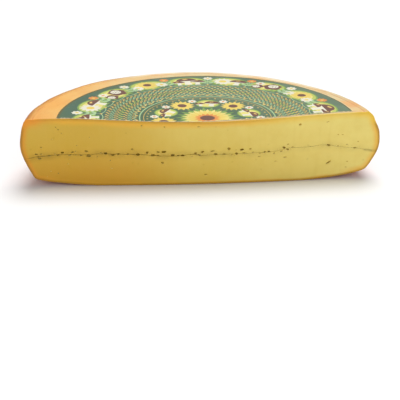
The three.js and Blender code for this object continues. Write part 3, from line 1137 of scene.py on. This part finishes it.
class Value:
    """What a node puts out. Python's own signs make the nodes that work with it."""

    def __init__(self, socket):
        self.socket = socket

    def into(self, kind, values, output=0, **options):
        """What a new node of the same tree puts out."""
        return new_value(self.socket.id_data, kind, values, output, **options)

    def beside(self, output):
        """Another output of the same node."""
        return Value(self.socket.node.outputs[output])

    def maths(self, operation, *values):
        return self.into("Math", dict(enumerate(values)), operation=operation)

    def __add__(self, other):
        return self.maths("ADD", self, other)

    def __radd__(self, other):
        return self.maths("ADD", other, self)

    def __sub__(self, other):
        return self.maths("SUBTRACT", self, other)

    def __rsub__(self, other):
        return self.maths("SUBTRACT", other, self)

    def __mul__(self, other):
        return self.maths("MULTIPLY", self, other)

    def __abs__(self):
        return self.maths("ABSOLUTE", self)

    def rise(self, low, high, smooth=True):
        """0 below low and 1 above high."""
        return self.into("MapRange", {"Value": self, "From Min": low, "From Max": high},
                         interpolation_type="SMOOTHSTEP" if smooth else "LINEAR")

    def fall(self, low, high, smooth=True):
        """1 below low and 0 above high."""
        return 1.0 - self.rise(low, high, smooth)

    def spread(self, low, high):
        """A share of 0 to 1 as a number from low to high."""
        return self.into("MapRange", {"Value": self, "To Min": low, "To Max": high})

    def parts(self):
        """The X, Y and Z of a vector."""
        x = self.into("SeparateXYZ", {0: self}, "X")
        return x, x.beside("Y"), x.beside("Z")

    def squeezed(self, x, y, z):
        return self.into("Mapping", {"Vector": self, "Scale": (x, y, z)})

    def noise(self, scale, detail, **more):
        """Noise of 0 to 1, mostly near 0.5."""
        return self.into("TexNoise", {"Vector": self, "Scale": scale, "Detail": detail, **more})

    def bump(self, distance, strength):
        """The normals of a surface with these heights."""
        return self.into("Bump", {"Height": self, "Distance": distance, "Strength": strength})


def new_value(tree, kind, values=None, output=0, **options):
    """What a new node puts out, once its options and inputs are set."""
    made = tree.nodes.new("ShaderNode" + kind)
    for option, value in options.items():
        setattr(made, option, value)
    set_inputs(made, values or {})
    return Value(made.outputs[output])


def set_inputs(made, values):
    """Sets a node's inputs to numbers and colours, or links them to what other nodes put out."""
    for name, value in values.items():
        socket = made.inputs[name]
        if isinstance(value, Value):
            made.id_data.links.new(value.socket, socket)
        else:
            socket.default_value = (*value, 1.0) if socket.type == "RGBA" else value


def mix(mask, under, over):
    """Two colours: the first where the mask is 0, and the second where it is 1."""
    return mask.into("Mix", {0: mask, 6: under, 7: over}, 2, data_type="RGBA")


class Paint:
    """A material in the making, with the colours that are laid on so far."""

    def __init__(self, name, colour):
        self.material = bpy.data.materials.new(name)
        self.material.use_nodes = True
        self.tree = self.material.node_tree
        self.tree.nodes.clear()
        out = self.tree.nodes.new("ShaderNodeOutputMaterial")
        self.shader = self.tree.nodes.new("ShaderNodeBsdfPrincipled")
        self.tree.links.new(self.shader.outputs[0], out.inputs[0])
        self.where = new_value(self.tree, "TexCoord", output="Object")
        self.colour = colour

    def kept(self, name):
        """One of the values that are kept on the mesh."""
        return new_value(self.tree, "Attribute", output="Fac", attribute_name=name)

    def lay(self, colour, mask):
        """Lays a colour over the others, as thick as the mask says."""
        self.colour = mix(mask, self.colour, colour)

    def done(self, looks):
        """The material, once its colour and its other looks are given to the shader."""
        set_inputs(self.shader, {"Base Color": self.colour, **looks})
        return self.material


def through_group(name, inputs, outputs, fill, where, *values):
    """What a shared node group puts out first, for the values that go in. The inputs and outputs are
    named with their defaults. At its first use the group is filled: fill gets its inputs in order and
    returns its outputs by name."""
    if name not in bpy.data.node_groups:
        group = bpy.data.node_groups.new(name, "ShaderNodeTree")
        for way, sockets in (("INPUT", inputs), ("OUTPUT", outputs)):
            for title, value in sockets.items():
                kind = {float: "Float", tuple: "Color"}.get(type(value), "Vector")
                socket = group.interface.new_socket(title, in_out=way, socket_type="NodeSocket" + kind)
                if value is not None:
                    socket.default_value = value
        given = group.nodes.new("NodeGroupInput").outputs
        made = fill(*(Value(given[title]) for title in inputs))
        set_inputs(group.nodes.new("NodeGroupOutput"), made)
    return where.into("Group", dict(zip(inputs, (where, *values))), node_tree=bpy.data.node_groups[name])


def patches(where, scale, low=0.4, high=0.6, detail=3.0):
    """Soft patches: a mask from noise of one scale, between two levels."""

    def fill(vector, scale, detail, low, high):
        return {"Mask": vector.noise(scale, detail, Roughness=0.6).rise(low, high)}

    inputs = {"Vector": None, "Scale": 20.0, "Detail": 3.0, "Low": 0.4, "High": 0.6}
    return through_group("Soft patches", inputs, {"Mask": 0.0}, fill, where, scale, detail, low, high)


def specks(where, scale, size, share):
    """Small scattered dots: a mask that is 1 inside them."""

    def fill(vector, scale, size, share):
        distance = vector.into("TexVoronoi", {"Vector": vector, "Scale": scale}, "Distance")
        chosen = vector.into("SeparateColor", {0: distance.beside("Color")})
        return {"Mask": distance.fall(0.0, size) * chosen.maths("LESS_THAN", chosen, share)}

    inputs = {"Vector": None, "Scale": 200.0, "Size": 0.2, "Share": 0.2}
    return through_group("Specks", inputs, {"Mask": 0.0}, fill, where, scale, size, share)


def printed_ink(where, ink, paper, wear):
    """Ink on coated paper, slightly uneven, with paper fibres showing through where it is worn: its
    colour, how rough it is from 0 to 1, and its height."""

    def fill(vector, ink, paper, wear):
        patchy, grain = vector.noise(30.0, 4.0), vector.noise(900.0, 2.0)
        fibres = vector.noise(260.0, 6.0, Distortion=1.2)
        tone = 0.8 + patchy * 0.22 + grain * 0.16
        even = ink.into("HueSaturation", {"Color": ink, "Value": tone})
        return {"Color": mix(fibres.rise(0.63, 0.75) * wear, even, paper),
                "Roughness": patchy.rise(0.2, 0.9, smooth=False), "Height": fibres * 0.7 + grain * 0.3}

    green, cream = (0.1, 0.2, 0.2, 1.0), (0.8, 0.75, 0.6, 1.0)
    inputs = {"Vector": None, "Ink": green, "Paper": cream, "Wear": 0.3}
    outputs = {"Color": green, "Roughness": 0.5, "Height": 0.0}
    printed = through_group("Printed ink", inputs, outputs, fill, where, ink, paper, wear)
    return printed, printed.beside("Roughness"), printed.beside("Height")


def cloth_imprint(rind, pitch=2.3 * MM):
    """The way round and up the rind as coordinates, and the weave that the pressing cloth left there: two
    slanting sets of threads, 0 to 1."""
    round_rind, up_rind = rind.kept("round_rind"), rind.kept("up_rind")
    place = up_rind.into("CombineXYZ", {"X": round_rind, "Y": up_rind})
    slant = up_rind * 0.85
    drift = place.noise(55.0, 2.0) * (3.2 * MM)
    threads = [across.maths("SINE", across * (2 * math.pi / pitch))
               for across in (round_rind + slant + drift, round_rind - slant - drift)]
    threads = place.maths("MAXIMUM", *threads)
    return place, threads.rise(-0.6, 1.0) * patches(place, 38.0, 0.3, 0.7)


def ridge_along():
    """How far up the side's curve the ridge is, where the top ends."""
    wheel = settings().wheel
    curve, along = side_line()
    inside = (curve[:, 0] < wheel.radius - wheel.ridge) & (curve[:, 1] > wheel.height / 2)
    return float(along[np.argmax(inside)])


def rind_material():
    colours, wheel = settings().colours, settings().wheel
    rind = Paint("washed_rind", colours.rind)
    where = rind.where
    x, _, _ = where.parts()
    place, weave = cloth_imprint(rind)
    up, ridge = rind.kept("up_rind"), ridge_along()
    slow = patches(where, 17.0, 0.36, 0.66, 4.0)
    rind.lay(colours.rind_deep, slow)
    rind.lay(colours.rind_deep, patches(where, 120.0, 0.42, 0.7, 4.0) * 0.35)
    rind.lay(colours.rind_weave, weave * 0.3)

    # The ring round the label: paler than the side, partly in its own colour and partly as painted light on
    # the top, with a painted cream sheen at the back and on the right, and warm patches
    on_left = x.fall(-112 * MM, -62 * MM)
    # Painted cream sheen, growing towards the right
    cream_sheen = (0.55 + patches(where, 22.0, 0.25, 0.6, 3.0) * 0.45) * x.rise(-150 * MM, -50 * MM, smooth=False)
    ring_colour = mix(cream_sheen, colours.rind_pale, colours.rind_cream_sheen)
    for flush_x, flush_y, wide, share, shade in FLUSHES:
        middle = axis_place() + Vector((flush_x * MM, flush_y * MM, wheel.height))
        apart = where.into("VectorMath", {0: where, 1: middle}, "Value", operation="DISTANCE")
        near = apart.fall(0.3 * wide * MM, wide * MM) * share
        ring_colour = mix(near, ring_colour, getattr(colours, shade))
    # The ring starts higher on the left, so the side's orange reaches up there as painted shade where the
    # ridge turns away
    ring = (up - on_left * (3 * MM)).rise(ridge - 5 * MM, ridge + 0.5 * MM)
    rind.lay(ring_colour, ring * 0.92)

    # Outside the ring: a painted highlight on the lip, a dark seam inside it, and painted shade on the
    # shoulder where the rind turns down
    drift = (where.noise(26.0, 3.0) - 0.5) * (5 * MM)
    # Painted highlight along the lip, at the back only
    lip_highlight = up.rise(ridge - 3 * MM, ridge) * (up + drift).fall(ridge + 2 * MM, ridge + 4 * MM)
    lip_highlight = lip_highlight * (1.0 - on_left) * x.fall(110 * MM, 150 * MM)
    rind.lay(colours.rind_lip_highlight, lip_highlight * 0.7)
    seam = abs(up + drift - (ridge + 4 * MM)).fall(0.2 * MM, 1.4 * MM) * patches(where, 30.0, 0.3, 0.6)
    rind.lay(colours.rind_deep, seam * 0.4)
    # Painted shade on the shoulder, stronger on the left
    shoulder_shade = up.rise(ridge - 10 * MM, ridge - 5 * MM) * up.fall(ridge + 0.4 * MM, ridge + 3.6 * MM)
    rind.lay(colours.rind_edge_and_shade, shoulder_shade * (0.2 + on_left * 0.3))

    # Streaks that run round the side, and dark specks
    rind.lay(colours.rind, patches(place.squeezed(0.35, 1.0, 1.0), 90.0, 0.42, 0.75, 5.0) * 0.2)
    rind.lay(colours.rind_edge_and_shade, specks(where, 260.0, 0.35, 0.12) * 0.3)
    height = weave * 0.6 + where.noise(700.0, 4.0) * 0.4
    return rind.done({
        "Roughness": slow.spread(0.42, 0.58), "Specular IOR Level": 0.3, "Coat Weight": 0.06,
        "Coat Roughness": 0.35, "Subsurface Weight": 0.08, "Subsurface Scale": 1.0,
        "Subsurface Radius": (4 * MM, 2 * MM, 1 * MM), "Normal": height.bump(0.35 * MM, 0.9)})


def paste_material():
    colours = settings().colours
    paste = Paint("paste", colours.paste)
    where = paste.where
    x, _, z = where.parts()
    wander = (where.noise(60.0, 3.0) - 0.5) * (4 * MM)
    cloudy = patches(where, 90.0, 0.35, 0.7, 5.0)
    paste.lay(colours.paste_deep, patches(where, 12.0, 0.3, 0.75, 2.0) * 0.25)
    paste.lay(colours.paste_deep, cloudy * 0.1)

    # Painted shade and warm bounce light: more golden towards the left and the base
    left_shade = x.fall(-120 * MM, 120 * MM, smooth=False)
    low_shade = z.fall(0.0, 60 * MM, smooth=False)
    paste.lay(colours.paste_deep, left_shade * 0.76)
    paste.lay(colours.paste_deep, low_shade * (0.15 + left_shade * 0.85))
    # Painted warm shade low down on the left
    paste.lay(colours.paste_warm_shade, x.fall(-95 * MM, 5 * MM) * (0.2 + z.fall(5 * MM, 50 * MM) * 0.35))

    # Upright streaks of the blade
    streaks = where.squeezed(1.0, 1.0, 0.06).noise(150.0, 3.0)
    paste.lay(colours.paste_deep, streaks.rise(0.5, 0.8) * 0.1)

    # The golden band, thinner at the left end and the base, and the thin dark skin at the rind
    under_rind = paste.kept("under_rind")
    left_end = x.fall(-176 * MM, -135 * MM)
    narrower = 1.0 + z.fall(3 * MM, 12 * MM) + left_end * 0.1
    golden = ((under_rind + wander) * narrower).fall(1.0 * MM, 8.5 * MM)
    on_top = z.rise(54 * MM, 64 * MM) * x.rise(20 * MM, 110 * MM)
    band = mix(left_end * 0.75, colours.under_rind, colours.band_left)
    band = mix(on_top, band, colours.band_right)
    fainter = on_top * (0.35 - x.rise(148 * MM, 164 * MM) * 0.35)
    paste.lay(band, golden * (0.85 - fainter))
    skin = under_rind.fall(0.6 * MM, 3.6 * MM) * (0.8 - z.rise(56 * MM, 66 * MM) * 0.45)
    paste.lay(colours.rind_edge_and_shade, skin * (1.0 - on_top * 0.7))
    top_left = x.fall(-174 * MM, -150 * MM) * z.rise(58 * MM, 69 * MM)
    paste.lay(colours.rind_weave, top_left * 0.8)

    # Powder that the blade smeared beside the layer, and small holes darkened with painted shade
    apart = abs(paste.kept("above_layer") + wander * 0.5)
    halo = apart.fall(0.2 * MM, 7.0 * MM) * patches(where, 55.0, 0.3, 0.75, 6.0)
    halo = halo * (0.34 - x.rise(-20 * MM, 90 * MM) * 0.21)
    smudge = x.rise(161 * MM, 167 * MM) * apart.fall(0.3 * MM, 2.4 * MM)
    paste.lay(colours.powder, halo.maths("MAXIMUM", halo, smudge * 0.3))
    paste.lay(colours.powder, specks(where, 900.0, 0.5, 0.25) * apart.fall(0.3 * MM, 4.0 * MM) * 0.5)
    # Small holes: painted shade in dark specks, with dips in the bump
    holes = specks(where, 170.0, 0.28, 0.1)
    paste.lay(colours.eye, holes * 0.18)
    height = streaks * 0.6 + where.noise(420.0, 5.0) * 0.4 - holes * 0.5
    return paste.done({
        "Roughness": cloudy.spread(0.4, 0.55), "Specular IOR Level": 0.28, "Subsurface Weight": 0.12,
        "Subsurface Scale": 1.0, "Subsurface Radius": (5 * MM, 3.5 * MM, 1.5 * MM),
        "Normal": height.bump(0.3 * MM, 0.7)})


def eye_material():
    """Painted shade that deepens towards the back, dusted with powder near the layer, and a painted
    highlight on the lower lip where it faces up.
    """
    colours = settings().colours
    eye = Paint("eye_inside", colours.paste_deep)
    behind = eye.kept("behind_cut")
    # Painted shade, darker further behind the cut
    eye.lay(colours.eye, behind.rise(0.1 * MM, 1.0 * MM))
    dusted = abs(eye.kept("above_layer")).fall(2 * MM, 6 * MM) * patches(eye.where, 350.0, 0.35, 0.6)
    eye.lay(colours.powder, dusted * 0.3)
    # Painted highlight on the lower lip, where it faces up near the mouth
    _, _, facing_up = new_value(eye.tree, "NewGeometry", output="Normal").parts()
    eye.lay(colours.lip_highlight, facing_up.rise(0.1, 0.6) * behind.fall(0.1 * MM, 0.6 * MM) * 0.6)
    return eye.done({"Roughness": 0.35, "Normal": eye.where.noise(900.0, 3.0).bump(0.15 * MM, 0.6)})


def powder_material():
    colours = settings().colours
    powder = Paint("dark_powder", colours.powder)
    where = powder.where
    powder.lay(colours.paste_deep, patches(where, 260.0, 0.4, 0.62, 4.0) * 0.5)
    powder.lay(colours.powder_grain, specks(where, 1200.0, 0.5, 0.4) * 0.5)
    return powder.done({"Roughness": 0.85, "Normal": where.noise(1500.0, 3.0).bump(0.2 * MM, 0.8)})


def ink_material(name):
    """One ink on the label's paper. The ground has bluer patches and a painted sheen that grows towards the
    back right.
    """
    inks = settings().inks
    label = Paint("print_" + name, getattr(inks, name))
    where = label.where
    roughness = {"ground": 0.34, "paper": 0.75}.get(name, 0.4)
    wear = 0.15
    if name == "ground":
        wear = 0.28
        x, y, _ = where.parts()
        label.lay(inks.teal, patches(where, 16.0, 0.45, 0.7) * 0.5)
        # Painted sheen: the ground grows paler towards the back and the right
        sheen_back_right = (y - axis_place().y + x * 0.6).rise(0.0, 120 * MM)
        label.lay(inks.ground_sheen, sheen_back_right * (0.6 + patches(where, 30.0, 0.35, 0.65) * 0.4))
    label.colour, rough, height = printed_ink(where, label.colour, inks.paper, wear)
    return label.done({"Roughness": rough.spread(roughness - 0.08, roughness + 0.12),
                       "Specular IOR Level": 0.45, "Normal": height.bump(0.06 * MM, 0.6)})


def floor_material():
    floor = Paint("plain_floor", (0.9, 0.9, 0.9))
    floor.lay((0.87, 0.87, 0.875), patches(floor.where, 2.0, 0.3, 0.7))
    return floor.done({"Roughness": 0.7, "Specular IOR Level": 0.2})


# Stage: floor, soft light from above, and the camera


def add_camera(stage):
    """A camera in front of the cut, at the angle that shows the cut and the top."""
    level = Vector((math.cos(stage.pan), math.sin(stage.pan), 0))
    ahead = Vector((-math.sin(stage.pan) * math.cos(stage.tilt), math.cos(stage.pan) * math.cos(stage.tilt),
                    -math.sin(stage.tilt)))
    above = level.cross(ahead)
    right = level * math.cos(stage.roll) + above * math.sin(stage.roll)
    up = above * math.cos(stage.roll) - level * math.sin(stage.roll)
    data = bpy.data.cameras.new("camera")
    data.lens = stage.lens
    data.sensor_width = 36
    data.clip_start, data.clip_end = 0.01, 50
    camera = new_object("camera", data)
    place = axis_place() + Vector((stage.camera_x, stage.camera_y, stage.camera_z))
    camera.matrix_world = Matrix.Translation(place) @ Matrix((right, up, -ahead)).transposed().to_4x4()
    bpy.context.scene.camera = camera


def add_light(name, strength, spread, lean):
    """A soft light from far away. The spread and the lean are in degrees."""
    data = bpy.data.lights.new(name, "SUN")
    data.energy = strength
    data.angle = math.radians(spread)
    new_object(name, data).rotation_euler = [math.radians(v) for v in lean]


def add_sky(strength):
    """Even light from all round, which the camera sees as white."""
    world = bpy.data.worlds.new("even_light")
    world.use_nodes = True
    tree = world.node_tree
    seen = new_value(tree, "LightPath", output="Is Camera Ray")
    set_inputs(tree.nodes["Background"], {"Color": (1, 1, 1), "Strength": seen.spread(strength, 1.0)})
    bpy.context.scene.world = world


class CHEESE_OT_stage(bpy.types.Operator):
    """Makes the floor, the light and the camera"""

    bl_idname = "half_cheese.stage"
    bl_label = "Floor, light and camera"

    def execute(self, context):
        stage = settings().stage
        reach = 40.0
        corners = [(-reach, -reach, 0), (reach, -reach, 0), (reach, reach, 0), (-reach, reach, 0)]
        floor = new_object("floor", mesh_from("floor", corners, [(0, 1, 2, 3)], [floor_material()]))
        floor.location.z = -0.1 * MM
        add_sky(stage.sky)
        add_light("overhead", stage.overhead, 40, (-20, 8, 0))
        add_light("front", stage.front, 60, (72, 0, 12))
        add_camera(stage)
        context.scene.view_settings.view_transform = "Standard"
        return {"FINISHED"}


class CheeseSettings(bpy.types.PropertyGroup):
    wheel: PointerProperty(type=WheelSizes, name="Wheel", description="Sizes of the wheel and its cut")
    eyes: PointerProperty(type=EyeSizes, name="Eyes", description="Sizes of the eyes in the cut")
    layer: PointerProperty(type=LayerSizes, name="Layer", description="Sizes of the dark layer")
    label: PointerProperty(type=LabelSizes, name="Label", description="Sizes of the label")
    colours: PointerProperty(type=CheeseColours, name="Colours", description="Colours of the cheese")
    inks: PointerProperty(type=LabelInks, name="Inks", description="Colours of the label's print")
    stage: PointerProperty(type=StageSettings, name="Stage", description="Camera and light")


class CHEESE_PT_panel(bpy.types.Panel):
    """The half cheese's settings and its pieces"""

    bl_idname = "CHEESE_PT_panel"
    bl_label = "Half cheese wheel"
    bl_space_type = "VIEW_3D"
    bl_region_type = "UI"
    bl_category = "Cheese"

    def draw(self, context):
        layout = self.layout
        for operator in OPERATORS:
            layout.operator(operator.bl_idname)
        for group_name in ("wheel", "eyes", "layer", "label", "colours", "inks", "stage"):
            group = getattr(context.scene.half_cheese, group_name)
            box = layout.box()
            box.label(text=group_name.capitalize())
            for name in group.bl_rna.properties.keys():
                if name not in ("rna_type", "name"):
                    box.prop(group, name)


OPERATORS = (CHEESE_OT_paste_and_rind, CHEESE_OT_dark_layer, CHEESE_OT_label, CHEESE_OT_stage)
CLASSES = (WheelSizes, EyeSizes, LayerSizes, LabelSizes, CheeseColours, LabelInks, StageSettings,
           CheeseSettings, *OPERATORS, CHEESE_PT_panel)


def register():
    for made_class in CLASSES:
        bpy.utils.register_class(made_class)
    bpy.types.Scene.half_cheese = PointerProperty(type=CheeseSettings)


def unregister():
    del bpy.types.Scene.half_cheese
    for made_class in reversed(CLASSES):
        bpy.utils.unregister_class(made_class)


def main():
    register()
    bpy.ops.half_cheese.paste_and_rind()
    bpy.ops.half_cheese.dark_layer()
    bpy.ops.half_cheese.label()
    bpy.ops.half_cheese.stage()


if __name__ == "__main__":
    main()
